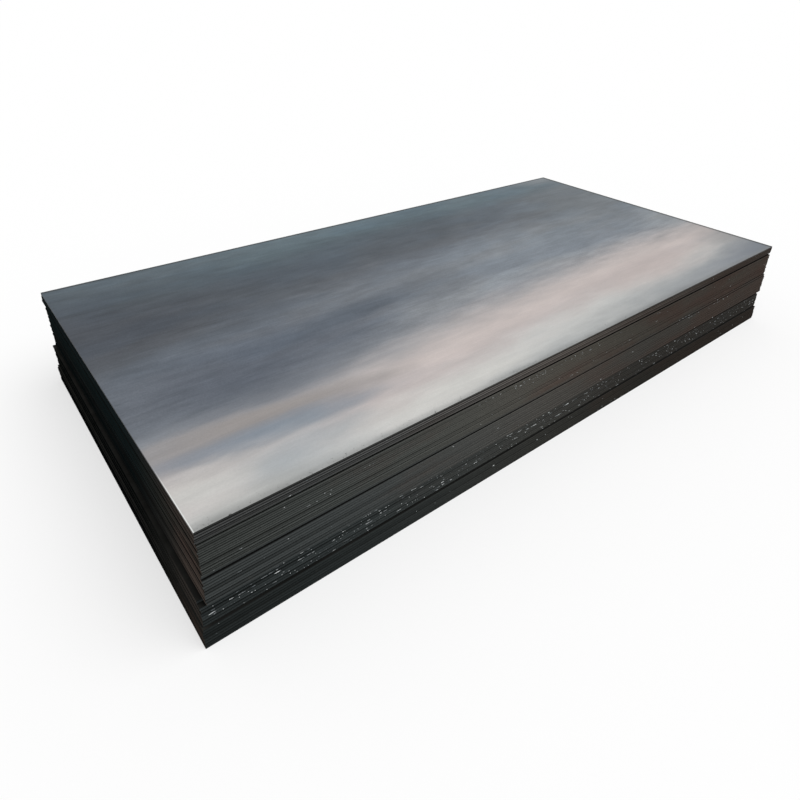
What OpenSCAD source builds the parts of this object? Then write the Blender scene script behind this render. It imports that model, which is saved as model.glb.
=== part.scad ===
// Stack of hot-rolled steel plates, laid flat in five lifts.
// Every plate is one rolled piece: flat faces, rounded mill edges along its length
// and square cut ends. The lifts were set down by crane one on another, so each is a
// little shifted and turned on the one below. Many plates lie a step out of line, and the
// last plate of a lift may have slipped back.
// X runs along the plates (the rolling direction), Y across them and Z up.
// The origin is the centre of the underside of the lowest plate.

/* [Plate] */
// Length of a plate, along the rolling direction
plate_l = 2500; // [1000:10:6000]
// Width of a plate
plate_w = 1250; // [600:10:2000]
// Radius of the rolled corners along both long edges
edge_r = 1.8; // [0.4:0.1:2.4]

/* [Stacking] */
// Gap that scale and unevenness leave between two plates
plate_gap = 0.3; // [0.1:0.05:0.8]
// Step by which some plates lie out of line with their lift, lengthways
jog_l = 1; // [0:0.25:10]
// Step by which some plates lie out of line with their lift, sideways
jog_w = 0.6; // [0:0.1:6]

/* [Lift 1, on the floor] */
// Plates in lift 1
lift_1_plates = 7; // [1:1:16]
// Thickness of the plates in lift 1
lift_1_t = 8; // [5:0.5:20]

/* [Lift 2] */
// Plates in lift 2
lift_2_plates = 8; // [1:1:16]
// Thickness of the plates in lift 2
lift_2_t = 8; // [5:0.5:20]
// Shift of lift 2 along the plates
lift_2_x = 5; // [-60:1:60]
// Shift of lift 2 across the plates
lift_2_y = 8; // [-40:1:40]
// Turn of lift 2, degrees counter-clockwise from above
lift_2_skew = 0; // [-1.5:0.05:1.5]
// How far the last plate of lift 2 has slipped back, which leaves a dark slot in front
lift_2_slip = 14; // [0:1:40]

/* [Lift 3] */
// Plates in lift 3
lift_3_plates = 10; // [1:1:16]
// Thickness of the plates in lift 3
lift_3_t = 8; // [5:0.5:20]
// Shift of lift 3 along the plates
lift_3_x = 14; // [-60:1:60]
// Shift of lift 3 across the plates
lift_3_y = 3; // [-40:1:40]
// Turn of lift 3, degrees counter-clockwise from above
lift_3_skew = 0.2; // [-1.5:0.05:1.5]
// How far the last plate of lift 3 has slipped back, which leaves a dark slot in front
lift_3_slip = 3; // [0:1:40]
// Turn of that plate as it slipped, degrees counter-clockwise from above
lift_3_slip_angle = -0.05; // [-1:0.05:1]

/* [Lift 4] */
// Plates in lift 4
lift_4_plates = 15; // [1:1:20]
// Thickness of the plates in lift 4
lift_4_t = 6; // [5:0.5:20]
// Shift of lift 4 along the plates
lift_4_x = 14; // [-60:1:60]
// Shift of lift 4 across the plates
lift_4_y = 6; // [-40:1:40]
// Turn of lift 4, degrees counter-clockwise from above
lift_4_skew = 0.3; // [-1.5:0.05:1.5]
// How far the last plate of lift 4 has slipped back, which leaves a dark slot in front
lift_4_slip = 7; // [0:1:40]
// Turn of that plate as it slipped, degrees counter-clockwise from above
lift_4_slip_angle = 0.2; // [-1:0.05:1]

/* [Lift 5, on top] */
// Plates in lift 5
lift_5_plates = 5; // [1:1:16]
// Thickness of the plates in lift 5
lift_5_t = 6; // [5:0.5:20]
// Shift of lift 5 along the plates
lift_5_x = 11; // [-60:1:60]
// Shift of lift 5 across the plates
lift_5_y = 5; // [-40:1:40]
// Turn of lift 5, degrees counter-clockwise from above
lift_5_skew = 0.35; // [-1.5:0.05:1.5]

/* [Hidden] */
$fn = 32;

// One row for each lift, from the floor up: plates, thickness, x, y, skew, slip, slip angle
LIFTS = [
    [lift_1_plates, lift_1_t, 0, 0, 0, 0, 0],
    [lift_2_plates, lift_2_t, lift_2_x, lift_2_y, lift_2_skew, lift_2_slip, 0],
    [lift_3_plates, lift_3_t, lift_3_x, lift_3_y, lift_3_skew, lift_3_slip, lift_3_slip_angle],
    [lift_4_plates, lift_4_t, lift_4_x, lift_4_y, lift_4_skew, lift_4_slip, lift_4_slip_angle],
    [lift_5_plates, lift_5_t, lift_5_x, lift_5_y, lift_5_skew, 0, 0]
];
function count_in(lift) = LIFTS[lift][0];
function thickness_in(lift) = LIFTS[lift][1];
function shift_of(lift) = [LIFTS[lift][2], LIFTS[lift][3]];
function angle_of(lift) = LIFTS[lift][4];
function is_last(lift, i) = i == count_in(lift) - 1;
function slip_of(lift, i) = is_last(lift, i) ? LIFTS[lift][5] : 0;
function slip_angle_of(lift, i) = is_last(lift, i) ? LIFTS[lift][6] : 0;

// Height from the underside of one plate to that of the next in its lift
function pitch_in(lift) = thickness_in(lift) + plate_gap;

// Underside of a lift's first plate above the floor
function lift_z(lift) = lift == 0 ? 0 : lift_z(lift - 1) + count_in(lift - 1) * pitch_in(lift - 1);

// A plate lies true with its lift, or one step out to either side: -1, 0 or 1, by chance.
// The lowest plate is the reference and lies true.
JOG_SEED = 41;
function jog_step(lift, i, axis) =
    lift == 0 && i == 0 ? 0 : floor(rands(-1, 2, 2, JOG_SEED + 100 * lift + i)[axis]);
function jog_of(lift, i) = [jog_l * jog_step(lift, i, 0), jog_w * jog_step(lift, i, 1)];

// Plates are named by lift and place in it, both counted from the floor up
TOP_LIFT = len(LIFTS) - 1;
function is_top(lift, i) = lift == TOP_LIFT && is_last(lift, i);
function two_digits(n) = n < 10 ? str("0", n) : str(n);
function plate_name(lift, i) =
    is_top(lift, i) ? "top_plate" : str("lift_", lift + 1, "_plate_", two_digits(i + 1));

// Section across the plate: a flat bar with four rolled corners
module plate_section(t) {
    square([plate_w - 2 * edge_r, t], center = true);
    square([plate_w, t - 2 * edge_r], center = true);
    for (side = [-1, 1], face = [-1, 1])
        translate([side * (plate_w / 2 - edge_r), face * (t / 2 - edge_r)]) circle(edge_r);
}

// One plate of thickness t, lying flat on z = 0 and centred over the origin
module plate(t) {
    translate([0, 0, t / 2]) rotate([90, 0, 90])
        linear_extrude(plate_l, center = true) plate_section(t);
}

// Plate i of a lift, where it lies in the stack
module stacked_plate(lift, i) {
    translate([0, 0, lift_z(lift) + i * pitch_in(lift)])
        translate(shift_of(lift)) rotate(angle_of(lift))
            translate(jog_of(lift, i) + [0, slip_of(lift, i)]) rotate(slip_angle_of(lift, i))
                plate(thickness_in(lift));
}

// The top plate shows its pale mill-scale face, and the others only their dark edges
module coloured_plate(lift, i) {
    color(is_top(lift, i) ? "slategray" : "darkslategray") stacked_plate(lift, i);
}

for (lift = [0:TOP_LIFT], i = [0:count_in(lift) - 1])
    coloured_plate(lift, i);
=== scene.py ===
# Stack of hot-rolled steel plates in five lifts: the finish of every plate, the bright nicks on their
# edges, and a plain white studio to see them in.
import math
import random

import bpy
from mathutils import Matrix, Vector


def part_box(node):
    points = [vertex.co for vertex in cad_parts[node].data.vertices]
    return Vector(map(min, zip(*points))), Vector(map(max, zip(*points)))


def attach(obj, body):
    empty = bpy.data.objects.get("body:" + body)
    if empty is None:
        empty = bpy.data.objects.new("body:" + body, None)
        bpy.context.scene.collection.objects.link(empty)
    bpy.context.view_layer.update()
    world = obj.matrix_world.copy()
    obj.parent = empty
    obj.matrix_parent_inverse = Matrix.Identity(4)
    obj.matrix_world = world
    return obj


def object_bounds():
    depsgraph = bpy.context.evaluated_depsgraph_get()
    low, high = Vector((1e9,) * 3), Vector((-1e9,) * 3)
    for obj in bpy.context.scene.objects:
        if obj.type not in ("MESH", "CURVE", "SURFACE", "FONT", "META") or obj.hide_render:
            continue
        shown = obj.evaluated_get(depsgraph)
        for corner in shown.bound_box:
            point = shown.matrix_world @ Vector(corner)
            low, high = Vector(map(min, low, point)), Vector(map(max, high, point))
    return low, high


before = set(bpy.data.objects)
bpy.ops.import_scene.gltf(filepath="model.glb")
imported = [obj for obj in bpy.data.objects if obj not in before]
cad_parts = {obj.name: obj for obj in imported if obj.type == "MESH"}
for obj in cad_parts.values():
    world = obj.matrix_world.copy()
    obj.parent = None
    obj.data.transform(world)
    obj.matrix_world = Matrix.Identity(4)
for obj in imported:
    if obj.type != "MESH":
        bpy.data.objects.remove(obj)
cad_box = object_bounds()


# Lift 1: the seven plates on the floor
# Hot-rolled steel, 8 mm thick, sheared to length and laid flat, held by nothing but their weight. Dull
# black scale covers the edges, and grey dust lies on the ledge that the shifted lifts above leave bare.
def shade(red, green, blue):
    """A colour as seen, 0 to 255 a channel, in the linear light that a shader takes."""
    def linear(level):
        return level / 12.92 if level <= 0.04045 else ((level + 0.055) / 1.055) ** 2.4
    return (linear(red / 255), linear(green / 255), linear(blue / 255), 1.0)


class Finish:
    """A steel surface being built up: each call adds a node and hands back what comes out of it."""

    def __init__(self, name, metallic, shine):
        self.material = bpy.data.materials.new(name)
        self.material.use_nodes = True
        self.tree = self.material.node_tree
        self.shader = self.tree.nodes["Principled BSDF"]
        self.shader.inputs["Metallic"].default_value = metallic
        self.shader.inputs["Specular IOR Level"].default_value = shine
        spot = self.node("TexCoord", {})
        self.place = spot.outputs["Object"]
        self.x, self.y, self.z = self.node("SeparateXYZ", {0: self.place}).outputs
        facing = self.node("SeparateXYZ", {0: spot.outputs["Normal"]}).outputs
        self.upward = facing[2]
        self.to_end = self.number("ABSOLUTE", facing[0])
        self.to_face = self.number("ABSOLUTE", self.upward)

    def node(self, kind, inputs, **settings):
        node = self.tree.nodes.new("ShaderNode" + kind)
        for name, value in settings.items():
            setattr(node, name, value)
        for socket, value in inputs.items():
            self.feed(node.inputs[socket], value)
        return node

    def feed(self, socket, value):
        if isinstance(value, bpy.types.NodeSocket):
            self.tree.links.new(value, socket)
        else:
            socket.default_value = value

    def number(self, operation, *values):
        return self.node("Math", dict(enumerate(values)), operation=operation).outputs[0]

    def between(self, value, low, high):
        """Spreads a value of 0 to 1 from low to high."""
        return self.node("MapRange", {0: value, 3: low, 4: high}, clamp=False).outputs[0]

    def fade(self, value, start, full):
        """0 up to start, 1 from full on, with a soft step between them."""
        falls = start > full
        ends = {1: full, 2: start, 3: 1.0, 4: 0.0} if falls else {1: start, 2: full, 3: 0.0, 4: 1.0}
        return self.node("MapRange", {0: value, **ends}, interpolation_type="SMOOTHSTEP").outputs[0]

    def both(self, *masks):
        product = masks[0]
        for mask in masks[1:]:
            product = self.number("MULTIPLY", product, mask)
        return product

    def vector(self, x, y, z):
        return self.node("CombineXYZ", {0: x, 1: y, 2: z}).outputs[0]

    def noise(self, place, stretch, detail=3.0, rough=0.5):
        """Cloudy noise around 0.5, with stretch[i] cells a metre along axis i."""
        spread = self.node("VectorMath", {0: place, 1: stretch}, operation="MULTIPLY").outputs[0]
        inputs = {"Vector": spread, "Scale": 1.0, "Detail": detail, "Roughness": rough}
        return self.node("TexNoise", inputs).outputs["Fac"]

    def blend(self, share, under, over, label=""):
        return self.node("Mix", {0: share, 6: under, 7: over}, data_type="RGBA", label=label).outputs[2]

    def dim(self, colour, amount):
        tint = colour if isinstance(colour, bpy.types.NodeSocket) else colour[:3]
        return self.node("VectorMath", {0: tint, "Scale": amount}, operation="SCALE").outputs[0]

    def done(self, colour, roughness, height, depth):
        """Wires the surface up; height is a relief of 0 to 1 that is depth metres deep."""
        bump = self.node("Bump", {"Strength": 1.0, "Distance": depth, "Height": height})
        self.feed(self.shader.inputs["Base Color"], colour)
        self.feed(self.shader.inputs["Roughness"], roughness)
        self.feed(self.shader.inputs["Normal"], bump.outputs[0])
        return self.material


def plates_in(lift):
    """The plates of a lift from the floor up."""
    return sorted(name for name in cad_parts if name.startswith(lift + "_plate"))


def edge_colour(finish, lift, edge, rust, cut, rust_share, scuff_share, stripes, dust=(-1.2, -0.1)):
    """Colour of the rolled edges and cut ends of a lift's plates, with their painted shade and light, and
    the grain of their scale. Stripes is how much plates and grooves differ. The last argument is where
    along X the painted light in the grooves sets in, and where it has hidden them."""
    lowest, highest = (corner.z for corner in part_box(plates_in(lift)[0]))
    thickness = highest - lowest
    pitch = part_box(plates_in(lift)[1])[0].z - lowest
    level = finish.number("DIVIDE", finish.number("SUBTRACT", finish.z, lowest), pitch)
    plate = finish.number("FLOOR", level)
    height = finish.number("MULTIPLY", finish.number("FRACT", level), pitch)
    from_middle = finish.number("ABSOLUTE", finish.number("SUBTRACT", height, thickness / 2))
    own_tone = finish.node("TexWhiteNoise", {"W": plate}, noise_dimensions="1D").outputs["Value"]
    own_place = finish.vector(finish.x, finish.y, finish.number("MULTIPLY", plate, 3.7))
    wander = finish.noise(own_place, (1.7, 1.7, 1.0), 4.0)
    grain = finish.noise(finish.place, (420, 420, 420), 2.0)

    # Each plate has its own tone and painted shade in its groove, until painted light in the grooves hides
    # them
    plate_tone = finish.between(own_tone, 1 - 0.28 * stripes, 1 + 0.28 * stripes)
    groove_shade = finish.between(finish.fade(from_middle, 0.20 * thickness, 0.46 * thickness),
                            1 + 0.25 * stripes, max(1 - 0.60 * stripes, 0.1))
    striped = finish.both(plate_tone, finish.between(wander, 0.78, 1.22), groove_shade)
    dusted = finish.between(finish.fade(from_middle, 0.25 * thickness, 0.50 * thickness), 0.76, 1.52)
    clear = finish.between(finish.fade(finish.x, dust[1], dust[0]), 0.1, 1.0)

    # Painted shade darkens the edges towards both ends, most at the left, so they are palest in the
    # middle; the scale is also colder at the left end
    shaded_left = finish.between(finish.fade(finish.x, -1.5, 0.0), 0.42, 1.0)
    shaded_right = finish.between(finish.fade(finish.x, -0.50, 0.50), 1.0, 0.62)
    shade_along = finish.both(shaded_left, shaded_right)
    tone = finish.both(finish.between(clear, dusted, striped), finish.between(grain, 0.55, 1.45), shade_along)
    chilled = (0.88 * edge[0], 1.03 * edge[1], 1.14 * edge[2])
    cold = finish.fade(finish.x, 0.0, -1.0)
    side = finish.blend(cold, finish.dim(edge, tone), finish.dim(chilled, tone))

    # Rust spreads in patches, more of them to the right, and handling has scuffed the scale grey
    more_to_right = finish.between(finish.fade(finish.x, -0.4, 1.1), 0.0, 0.24)
    patches = finish.number("ADD", finish.noise(finish.place, (2.2, 2.2, 9.0), 5.0, 0.6), more_to_right)
    rusted = finish.both(finish.fade(patches, 0.52, 0.80), rust_share)
    side = finish.blend(rusted, side, finish.dim(rust, tone))
    scuffs = finish.noise(own_place, (26.0, 26.0, 1.0), 5.0, 0.7)
    scuffed = finish.both(finish.fade(scuffs, 0.64, 0.76), scuff_share)
    side = finish.blend(scuffed, side, finish.dim(shade(128, 124, 118), shade_along))

    # A sheared end is smooth where the blade went in and torn below. The left end is teal-black scale,
    # painted in shade, darker in the lower lifts and paler to the front, where the scale wears off and
    # painted light falls; the right end is painted as lit and worn all over, and rust has crept in at the
    # corners.
    to_right = finish.fade(finish.x, -0.5, 0.5)
    burnished = finish.both(finish.fade(height, 0.60 * thickness, 0.70 * thickness),
                            finish.fade(wander, 0.35, 0.6))
    tears = finish.between(finish.noise(finish.place, (500, 500, 40), 3.0), 0.6, 1.4)
    lit_and_worn = finish.between(to_right, finish.fade(finish.y, -0.18, -0.60), 1.0)
    sheared = finish.both(tears, finish.between(burnished, 0.8, 1.5), finish.between(wander, 0.7, 1.3),
                          finish.between(groove_shade, 0.55, 1.0))
    end = finish.dim(finish.blend(lit_and_worn, cut, finish.dim(edge, 0.36)), sheared)
    corners = finish.fade(finish.number("ABSOLUTE", finish.y), 0.40, 0.58)
    crept = finish.fade(finish.noise(finish.place, (6, 6, 14), 5.0, 0.6), 0.30, 0.55)
    end_rust = finish.dim(rust, finish.both(sheared, 0.7))
    end = finish.blend(finish.both(corners, crept, lit_and_worn), end, end_rust)
    # Painted light makes the right end half again as bright as the left end
    end = finish.dim(end, finish.between(to_right, 1.0, 1.5))
    return finish.blend(finish.fade(finish.to_end, 0.5, 0.8), side, end), grain


def dress_lift(lift, face, **edge):
    """Gives all plates of a lift one finish: scale on the flats, and darker edges and ends."""
    finish = Finish(lift + "_steel", metallic=0.0, shine=0.0)
    edges, grain = edge_colour(finish, lift, **edge)
    clouds = finish.noise(finish.place, (6, 30, 30), 4.0)
    left_end = cad_box[0].x
    ledge = finish.fade(finish.x, left_end + 0.026, left_end + 0.006)
    dusty = finish.blend(ledge, face, shade(42, 42, 40))
    flat = finish.dim(dusty, finish.between(clouds, 0.5, 1.5))
    colour = finish.blend(finish.fade(finish.to_face, 0.90, 0.99), edges, flat)
    material = finish.done(colour, finish.between(clouds, 0.60, 0.88), grain, 0.0002)
    for name in plates_in(lift):
        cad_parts[name].data.materials.clear()
        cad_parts[name].data.materials.append(material)


def edge_lines(plate):
    """The four edges of a plate as (start, end, outward), along the middle of its thickness."""
    spots = [vertex.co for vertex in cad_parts[plate].data.vertices]
    low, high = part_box(plate)
    middle = (low + high) / 2

    def corner(far_x, far_y):
        half = [spot for spot in spots if (spot.x - middle.x) * far_x > 0]
        spot = max(half, key=lambda spot: spot.y * far_y)
        return Vector((spot.x, spot.y, middle.z))

    ring = [corner(-1, -1), corner(1, -1), corner(1, 1), corner(-1, 1)]
    lines = []
    for start, end in zip(ring, ring[1:] + ring[:1]):
        along = (end - start).normalized()
        lines.append((start, end, Vector((along.y, -along.x, 0.0))))
    return lines


def add_nick(points, faces, centre, along, outward, length, height, proud, draw):
    """One flake of bare metal: a ragged six-sided chip, sunk a little into the edge, smaller outside."""
    up = Vector((0, 0, 1))
    sunk = 0.0002
    first = len(points)
    ring = [(-0.5, 0.0), (-0.22, -0.5), (0.24, -0.5), (0.5, 0.0), (0.2, 0.5), (-0.26, 0.5)]
    ring = [(a * length * draw.uniform(0.75, 1.0), b * height * draw.uniform(0.5, 1.0)) for a, b in ring]
    for size, off_edge in ((1.0, -sunk), (0.8, proud)):
        points.extend(centre + along * (a * size) + up * (b * size) + outward * off_edge for a, b in ring)
    sides = len(ring)
    faces.append([first + i for i in reversed(range(sides))])
    faces.append([first + sides + i for i in range(sides)])
    for i in range(sides):
        j = (i + 1) % sides
        faces.append([first + i, first + j, first + sides + j, first + sides + i])


bare = Finish("bare_steel_nicks", metallic=0.35, shine=0.4)
bare_tone = bare.noise(bare.place, (45, 45, 160), 2.0)
bare_colour = bare.blend(bare.fade(bare_tone, 0.40, 0.66), shade(92, 98, 102), shade(222, 226, 226))
bare_steel = bare.done(bare_colour, bare.between(bare_tone, 0.25, 0.55),
                       bare.noise(bare.place, (900, 900, 900)), 0.0002)


def nick_lift(lift, counts, longest, seed, dashes=()):
    """Bright nicks on a lift's edges: counts on the front, right end, back and left end, half in clusters.
    Each row of dashes is (plate from the floor, from, to, how many, longest), along the front edge in
    shares of it."""
    shortest = 0.0028
    cluster_size = 9
    cluster_reach = 0.035
    draw = random.Random(seed)
    plates = plates_in(lift)
    points, faces = [], []

    def nick(plate, line, share, length):
        start, end, outward = edge_lines(plate)[line]
        low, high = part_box(plate)
        flat = (high.z - low.z) * 0.5
        height = draw.uniform(0.22, 0.72) * flat
        centre = start.lerp(end, share) + Vector((0, 0, draw.uniform(-0.2, 0.2) * flat))
        along = (end - start).normalized()
        proud = draw.uniform(0.0002, 0.0006)
        add_nick(points, faces, centre, along, outward, length, height, proud, draw)

    for line, count in enumerate(counts):
        clusters = [draw.uniform(0.02, 0.98) for _ in range(max(3, count // cluster_size))]
        for _ in range(count):
            if draw.random() < 0.5:
                share = draw.gauss(draw.choice(clusters), cluster_reach)
            else:
                share = draw.random() ** 1.3
            length = longest * draw.random() ** 3 + shortest
            nick(draw.choice(plates), line, min(max(share, 0.01), 0.99), length)
    for number, begin, stop, count, most in dashes:
        for _ in range(count):
            nick(plates[number - 1], 0, draw.uniform(begin, stop), draw.uniform(0.4, 1.0) * most)

    mesh = bpy.data.meshes.new(lift + "_nicks")
    mesh.from_pydata(points, [], faces)
    mesh.materials.append(bare_steel)
    nicks = bpy.data.objects.new(lift + "_nicks", mesh)
    bpy.context.scene.collection.objects.link(nicks)
    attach(nicks, "root")


dress_lift("lift_1", face=shade(30, 30, 29), edge=shade(55, 55, 52), rust=shade(62, 54, 49),
           cut=shade(6, 8, 8), rust_share=0.6, scuff_share=0.10, stripes=0.6)
nick_lift("lift_1", counts=(24, 10, 22, 0), longest=0.010, seed=11)


# Lift 2: eight plates, the most knocked about
# Hot-rolled steel, 8 mm thick, set down loose on lift 1, with a cold blue-black scale. Slings and the
# neighbouring stacks have chipped the scale off the edges in many small places, down to bright metal.
dress_lift("lift_2", face=shade(22, 22, 22), edge=shade(67, 67, 64), rust=shade(66, 61, 57),
           cut=shade(6, 9, 9), rust_share=0.4, scuff_share=0.20, stripes=0.8)
nick_lift("lift_2", counts=(330, 80, 260, 0), longest=0.014, seed=24,
          dashes=[(2, 0.02, 0.30, 5, 0.024), (3, 0.45, 0.46, 1, 0.040), (4, 0.005, 0.02, 2, 0.026),
                  (5, 0.05, 0.45, 8, 0.026), (6, 0.03, 0.07, 5, 0.020), (6, 0.38, 0.60, 4, 0.044),
                  (7, 0.02, 0.40, 6, 0.020), (8, 0.25, 0.55, 5, 0.028), (1, 0.05, 0.90, 20, 0.005),
                  (3, 0.02, 0.95, 30, 0.005), (4, 0.02, 0.95, 30, 0.005), (6, 0.02, 0.95, 30, 0.005),
                  (7, 0.02, 0.95, 30, 0.005), (8, 0.02, 0.90, 24, 0.005)])


# Lift 3: the ten plates in the middle of the stack
# Hot-rolled steel, 8 mm thick, set down loose on lift 2. Brown-grey scale, with rust starting towards
# the right end, and painted light in the grooves between the plates that soon hides them.
dress_lift("lift_3", face=shade(22, 22, 22), edge=shade(81, 79, 75), rust=shade(84, 74, 68),
           cut=shade(12, 17, 18), rust_share=0.9, scuff_share=0.20, stripes=0.9, dust=(-1.3, -0.3))
nick_lift("lift_3", counts=(16, 10, 18, 0), longest=0.012, seed=33,
          dashes=[(6, 0.030, 0.034, 1, 0.020), (9, 0.74, 0.90, 10, 0.012), (10, 0.70, 0.76, 6, 0.012)])


# Lift 4: fifteen thinner plates
# Hot-rolled steel, 6 mm thick, set down loose on lift 3. Olive-grey scale that rusts at the right end,
# with a row of dashes where a chain has rubbed along the edges of two plates.
dress_lift("lift_4", face=shade(22, 22, 22), edge=shade(85, 82, 76), rust=shade(86, 73, 67),
           cut=shade(19, 28, 29), rust_share=0.95, scuff_share=0.20, stripes=0.9)
nick_lift("lift_4", counts=(34, 14, 34, 0), longest=0.008, seed=44,
          dashes=[(4, 0.026, 0.034, 1, 0.012), (7, 0.09, 0.12, 4, 0.006), (9, 0.11, 0.14, 5, 0.006),
                  (11, 0.13, 0.17, 4, 0.006), (12, 0.36, 0.52, 26, 0.007), (13, 0.30, 0.58, 34, 0.007),
                  (15, 0.085, 0.095, 2, 0.012), (8, 0.645, 0.665, 3, 0.007), (13, 0.640, 0.655, 3, 0.007),
                  (11, 0.665, 0.680, 2, 0.007), (14, 0.76, 0.78, 2, 0.008), (5, 0.575, 0.590, 2, 0.007),
                  (2, 0.44, 0.50, 3, 0.009)])


# Lift 5: the four plates under the top plate
# Hot-rolled steel, 6 mm thick, set down loose on lift 4 together with the top plate. Their edges are a
# warm brown-grey, and each plate still shows.
lift_5_edges = dict(edge=shade(81, 76, 72), rust=shade(74, 66, 61), cut=shade(21, 30, 32),
                    rust_share=0.9, scuff_share=0.20, stripes=1.4, dust=(0.3, 1.1))
dress_lift("lift_5", face=shade(30, 30, 29), **lift_5_edges)
nick_lift("lift_5", counts=(6, 5, 8, 0), longest=0.008, seed=55)


# Top plate: the one whose whole face shows
# Hot-rolled steel, 6 mm thick, loose like the rest. Its mill scale cooled in bands along the rolling
# direction, from teal and slate at the back through blue-grey to straw, pink and silver at the front, and
# a painted reflection of a bright sky makes the bands darker at the back and paler at the front.

# Each band: its middle across from the back, and its colour, mill scale and painted reflection together
scale_and_reflection_bands = [
    (0.00, shade(104, 118, 125)),  # teal back edge
    (0.10, shade(94, 108, 115)),   # teal
    (0.18, shade(88, 97, 104)),    # slate
    (0.33, shade(94, 99, 105)),    # warmer slate
    (0.43, shade(114, 119, 125)),  # blue-grey
    (0.58, shade(122, 127, 133)),  # lighter blue-grey
    (0.70, shade(148, 150, 154)),  # grey before the straw
    (0.81, shade(197, 188, 185)),  # straw
    (0.87, shade(194, 187, 185)),  # pink
    (0.93, shade(197, 197, 195)),  # pale silver
    (1.06, shade(142, 145, 148)),  # dull front edge
]
# Each patch: what it is, its colour, its middle along from the left end and across from the back, its
# reach both ways, how far it slants to the front as it goes along, and its strength. Like the bands, the
# patches carry mill scale colour and painted reflection together
scale_and_reflection_patches = [
    ("dark left end", shade(76, 79, 85), -0.05, 0.25, 0.44, 0.46, 0.0, 0.86),
    ("blue bruise at the left", shade(94, 100, 110), 0.12, 0.645, 0.28, 0.20, -0.12, 0.92),
    ("small blue streak", shade(88, 97, 108), 0.28, 0.55, 0.15, 0.06, -0.3, 0.65),
    ("light middle", shade(138, 143, 148), 0.72, 0.48, 0.38, 0.17, 0.0, 0.85),
    ("grey light at the right", shade(122, 128, 132), 1.12, 0.26, 0.58, 0.42, 0.0, 0.90),
    ("teal streak at the right", shade(101, 117, 124), 0.76, 0.09, 0.24, 0.09, 0.0, 0.70),
    ("pale back corner", shade(136, 141, 145), 1.00, 0.00, 0.17, 0.10, 0.0, 0.90),
    ("light right end", shade(154, 156, 157), 1.02, 0.62, 0.16, 0.17, 0.0, 0.65),
    ("cool notch in the pink", shade(148, 151, 156), 0.53, 0.72, 0.12, 0.055, 0.0, 0.60),
    ("grey light before the straw", shade(153, 156, 159), 0.57, 0.655, 0.32, 0.055, 0.0, 0.60),
    ("violet grey at the left", shade(138, 140, 146), 0.07, 0.835, 0.24, 0.075, 0.15, 0.95),
    ("straw fringe at the left", shade(154, 148, 144), 0.09, 0.805, 0.22, 0.042, 0.20, 0.75),
    ("blue tongue under the fringe", shade(134, 143, 153), 0.10, 0.855, 0.14, 0.036, 0.20, 0.90),
    ("cool gap at the front", shade(165, 171, 175), 0.12, 0.945, 0.09, 0.10, 0.0, 0.85),
    ("cream corner", shade(199, 199, 196), 0.03, 0.915, 0.11, 0.07, 0.10, 0.85),
    ("dull front at the left", shade(166, 167, 165), 0.06, 1.01, 0.20, 0.06, 0.0, 0.75),
    ("silver streak", shade(206, 205, 201), 0.30, 0.95, 0.17, 0.06, 0.0, 0.80),
    ("grey straw at the right end", shade(148, 149, 150), 1.03, 0.88, 0.15, 0.15, 0.0, 0.85),
    ("pink at the right", shade(192, 181, 178), 0.77, 0.86, 0.24, 0.090, 0.0, 0.85),
    ("cool strip at the right", shade(148, 152, 157), 0.90, 0.970, 0.32, 0.080, 0.0, 0.85),
    ("blue corner", shade(122, 128, 136), 1.02, 0.99, 0.22, 0.13, 0.0, 0.85),
]

top = Finish("top_plate_steel", metallic=0.45, shine=0.15)
top.shader.inputs["Specular Tint"].default_value = (0.35, 0.35, 0.35, 1.0)


def inside(start, outward):
    """How far in from one of its edges a point of the top plate lies, in metres."""
    reach = top.node("VectorMath", {0: top.place, 1: outward}, operation="DOT_PRODUCT").outputs["Value"]
    return top.number("SUBTRACT", start.dot(outward), reach)


top_edges = edge_lines("top_plate")
top_length, top_width = ((end - start).length for start, end, outward in top_edges[:2])
front_in, right_in, back_in, left_in = (inside(start, outward) for start, end, outward in top_edges)
from_left = top.number("DIVIDE", left_in, top_length)
from_back = top.number("DIVIDE", back_in, top_width)


def sway(value, *ripples):
    """Sends a value to and fro, by a noise of each ripple's cells a metre and by at most its amount."""
    for cells, amount in ripples:
        ripple = top.between(top.noise(top.place, cells, 4.0), -amount, amount)
        value = top.number("ADD", value, ripple)
    return value


across_way = sway(from_back, ((0.9, 2.2, 1), 0.03), ((3.5, 14, 1), 0.040), ((12, 40, 1), 0.018))
along_way = sway(from_left, ((2.5, 5, 1), 0.10))
patch_way = sway(from_back, ((0.9, 2.2, 1), 0.03), ((3.5, 14, 1), 0.035))
slope = top.number("ADD", top.between(top.fade(from_left, 0.10, 0.45), -0.06, 0.0),
                   top.between(top.fade(from_left, 0.35, 0.85), 0.0, 0.035))

first_band, last_band = scale_and_reflection_bands[0][0], scale_and_reflection_bands[-1][0]
ramp_place = top.node("MapRange", {0: top.number("ADD", across_way, slope), 1: first_band, 2: last_band})
bands = top.node("ValToRGB", {0: ramp_place.outputs[0]})
bands.color_ramp.interpolation = "CARDINAL"
for stop, (place, colour) in enumerate(scale_and_reflection_bands):
    share = (place - first_band) / (last_band - first_band)
    element = bands.color_ramp.elements.new(share) if stop > 1 else bands.color_ramp.elements[stop]
    element.position = share
    element.color = colour
face = bands.outputs[0]
for name, colour, along, across, reach_along, reach_across, slant, strength in scale_and_reflection_patches:
    off_along = top.number("SUBTRACT", along_way, along)
    off_across = top.number("SUBTRACT", patch_way, across)
    off_across = top.number("SUBTRACT", off_across, top.number("MULTIPLY", off_along, slant))
    off = top.vector(top.number("DIVIDE", off_along, reach_along),
                     top.number("DIVIDE", off_across, reach_across), 0.0)
    distance = top.node("VectorMath", {0: off}, operation="LENGTH").outputs["Value"]
    face = top.blend(top.both(top.fade(distance, 1.05, 0.1), strength), face, colour, label=name)

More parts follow.
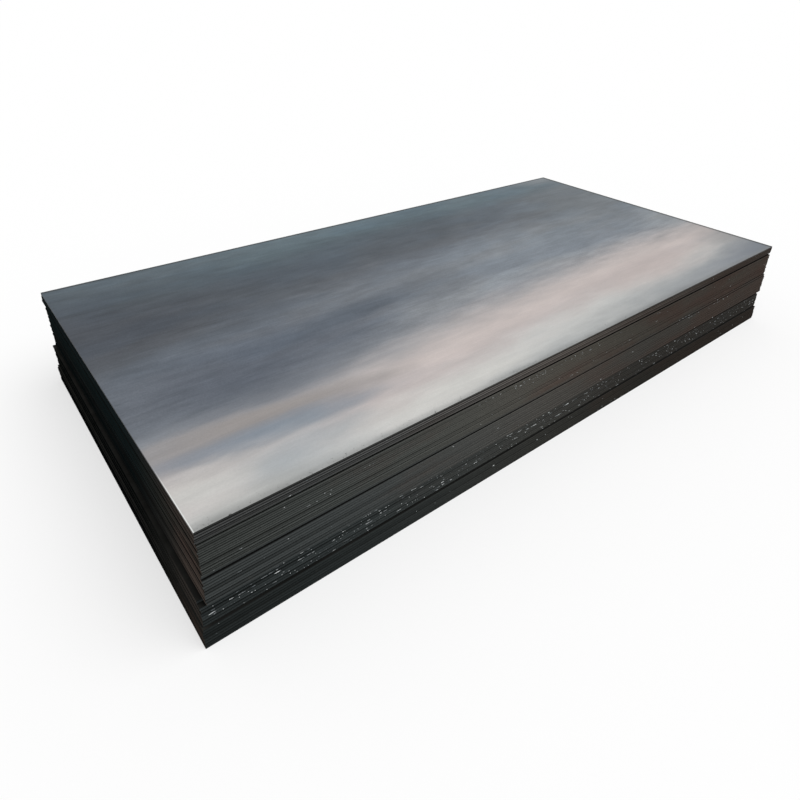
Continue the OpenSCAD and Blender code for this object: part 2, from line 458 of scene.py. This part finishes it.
# The rolls have left streaks in the scale, and it is cloudy, a little bluer in places and finely speckled
streaks = top.noise(top.place, (9, 160, 1), 5.0, 0.6)
texture = top.both(top.between(streaks, 0.78, 1.22),
                   top.between(top.noise(top.place, (7, 50, 1), 4.0, 0.6), 0.75, 1.25),
                   top.between(top.noise(top.place, (7, 18, 1), 5.0, 0.6), 0.75, 1.25),
                   top.between(top.noise(top.place, (260, 260, 260), 2.0), 0.80, 1.20))
calm = top.between(top.fade(from_back, 0.66, 0.80), 0.0, 0.62)
face = top.dim(face, top.between(calm, texture, 1.0))
bluer = top.node("VectorMath", {0: face, 1: (0.96, 1.0, 1.04)}, operation="MULTIPLY").outputs[0]
blue_places = top.both(top.fade(top.noise(top.place, (2.5, 9, 1), 4.0), 0.40, 0.64),
                       top.fade(from_back, 0.74, 0.62))
face = top.blend(blue_places, face, bluer)

# The face is darker in a strip behind the front edge, with dark specks. Painted shade darkens the arrises
# at the back and the right end, and a painted highlight lies along the arris at the front of the left end
darker_front_strip = top.both(top.fade(front_in, 0.024, 0.0), top.between(top.noise(top.place, (20, 60, 1)), 0.1, 0.9))
face = top.blend(darker_front_strip, face, shade(128, 130, 129))
specks = top.both(top.fade(front_in, 0.030, 0.002), top.fade(from_left, 0.85, 0.55),
                  top.fade(top.noise(top.place, (170, 170, 170), 3.0), 0.62, 0.74))
face = top.blend(specks, face, shade(84, 84, 82))
shaded_arris = top.number("MAXIMUM", top.fade(back_in, 0.020, 0.006), top.fade(right_in, 0.022, 0.007))
face = top.blend(top.both(shaded_arris, 0.75), face, shade(56, 58, 58))
arris_highlight = top.both(top.fade(left_in, 0.0032, 0.0012), top.fade(front_in, 0.24, 0.08))
face = top.blend(arris_highlight, face, shade(220, 222, 220))

edge_top, edge_grain = edge_colour(top, "lift_5", **lift_5_edges)
top_colour = top.blend(top.fade(top.upward, 0.55, 0.9), edge_top, face)
top_steel = top.done(top_colour, top.between(streaks, 0.34, 0.58), streaks, 0.0001)
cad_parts["top_plate"].data.materials.clear()
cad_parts["top_plate"].data.materials.append(top_steel)


# Studio: floor, sky and lamp
# A wide white floor that keeps the stack's soft shadow, an even white sky and one broad lamp high in
# front. Together they light a level surface so that its colour comes out as it is written.
floor_reach = 120.0
floor_glow_share = 0.6
sky_share = 0.64
lamp_share = 0.40
lamp_from = Vector((0.30, -0.42, 0.86)).normalized()
lamp_spread = math.radians(50)

floor_mesh = bpy.data.meshes.new("floor")
floor_corners = [(x * floor_reach, y * floor_reach, 0) for x, y in ((-1, -1), (1, -1), (1, 1), (-1, 1))]
floor_mesh.from_pydata(floor_corners, [], [(0, 1, 2, 3)])
floor = bpy.data.objects.new("floor", floor_mesh)
bpy.context.scene.collection.objects.link(floor)


def seen_directly(tree):
    """1 for rays from the camera, or from it by way of a mirror or glass, and 0 for the light itself."""
    path = tree.nodes.new("ShaderNodeLightPath")
    seen = path.outputs["Is Camera Ray"]
    for ray in ("Is Glossy Ray", "Is Transmission Ray"):
        either = tree.nodes.new("ShaderNodeMath")
        either.operation = "MAXIMUM"
        tree.links.new(seen, either.inputs[0])
        tree.links.new(path.outputs[ray], either.inputs[1])
        seen = either.outputs[0]
    return seen


white_floor = bpy.data.materials.new("white_floor")
white_floor.use_nodes = True
floor_tree = white_floor.node_tree
floor_paint = floor_tree.nodes["Principled BSDF"]
floor_paint.inputs["Base Color"].default_value = (0.96, 0.96, 0.96, 1.0)
floor_paint.inputs["Roughness"].default_value = 1.0
floor_paint.inputs["Specular IOR Level"].default_value = 0.0
floor_glow = floor_tree.nodes.new("ShaderNodeEmission")
floor_mix = floor_tree.nodes.new("ShaderNodeMixShader")
glow_share = floor_tree.nodes.new("ShaderNodeMath")
glow_share.operation = "MULTIPLY"
glow_share.inputs[1].default_value = floor_glow_share
floor_tree.links.new(seen_directly(floor_tree), glow_share.inputs[0])
floor_tree.links.new(glow_share.outputs[0], floor_mix.inputs[0])
floor_tree.links.new(floor_paint.outputs[0], floor_mix.inputs[1])
floor_tree.links.new(floor_glow.outputs[0], floor_mix.inputs[2])
floor_tree.links.new(floor_mix.outputs[0], floor_tree.nodes["Material Output"].inputs["Surface"])
floor_mesh.materials.append(white_floor)

sky = bpy.data.worlds.new("studio_sky")
bpy.context.scene.world = sky
sky.use_nodes = True
sky_tree = sky.node_tree
sky_light = sky_tree.nodes["Background"]
sky_light.inputs["Color"].default_value = (1.0, 1.0, 1.0, 1.0)
sky_level = sky_tree.nodes.new("ShaderNodeMapRange")
sky_level.inputs[3].default_value = sky_share
sky_level.inputs[4].default_value = 1.0
sky_tree.links.new(seen_directly(sky_tree), sky_level.inputs[0])
sky_tree.links.new(sky_level.outputs[0], sky_light.inputs["Strength"])

lamp = bpy.data.objects.new("broad_lamp", bpy.data.lights.new("broad_lamp", "SUN"))
lamp.data.energy = lamp_share * math.pi / lamp_from.z
lamp.data.angle = lamp_spread
lamp.rotation_mode = "QUATERNION"
lamp.rotation_quaternion = lamp_from.to_track_quat("Z", "Y")
lamp.visible_glossy = False
bpy.context.scene.collection.objects.link(lamp)


# Camera: where the stack is seen from
# A wide lens at the front left corner, looking down along the plates, a little out of level.
image_side = 800
focal_pixels = 615.8
lens_centre = (418.2, 305.4)
camera_at = Vector((-1.460, -1.512, 1.255))
camera_looks_at = Vector((-0.302, -0.158, 0.333))
camera_roll = math.radians(2.32)

camera = bpy.data.objects.new("camera", bpy.data.cameras.new("camera"))
camera.data.sensor_width = 36.0
camera.data.lens = focal_pixels / image_side * camera.data.sensor_width
camera.data.shift_x = 0.5 - lens_centre[0] / image_side
camera.data.shift_y = lens_centre[1] / image_side - 0.5
camera.data.clip_end = 400.0
level = (camera_looks_at - camera_at).to_track_quat("-Z", "Y").to_matrix()
rolled = level @ Matrix.Rotation(camera_roll, 3, "Z")
camera.matrix_world = Matrix.Translation(camera_at) @ rolled.to_4x4()
bpy.context.scene.collection.objects.link(camera)
bpy.context.scene.camera = camera
bpy.context.scene.view_settings.view_transform = "Standard"
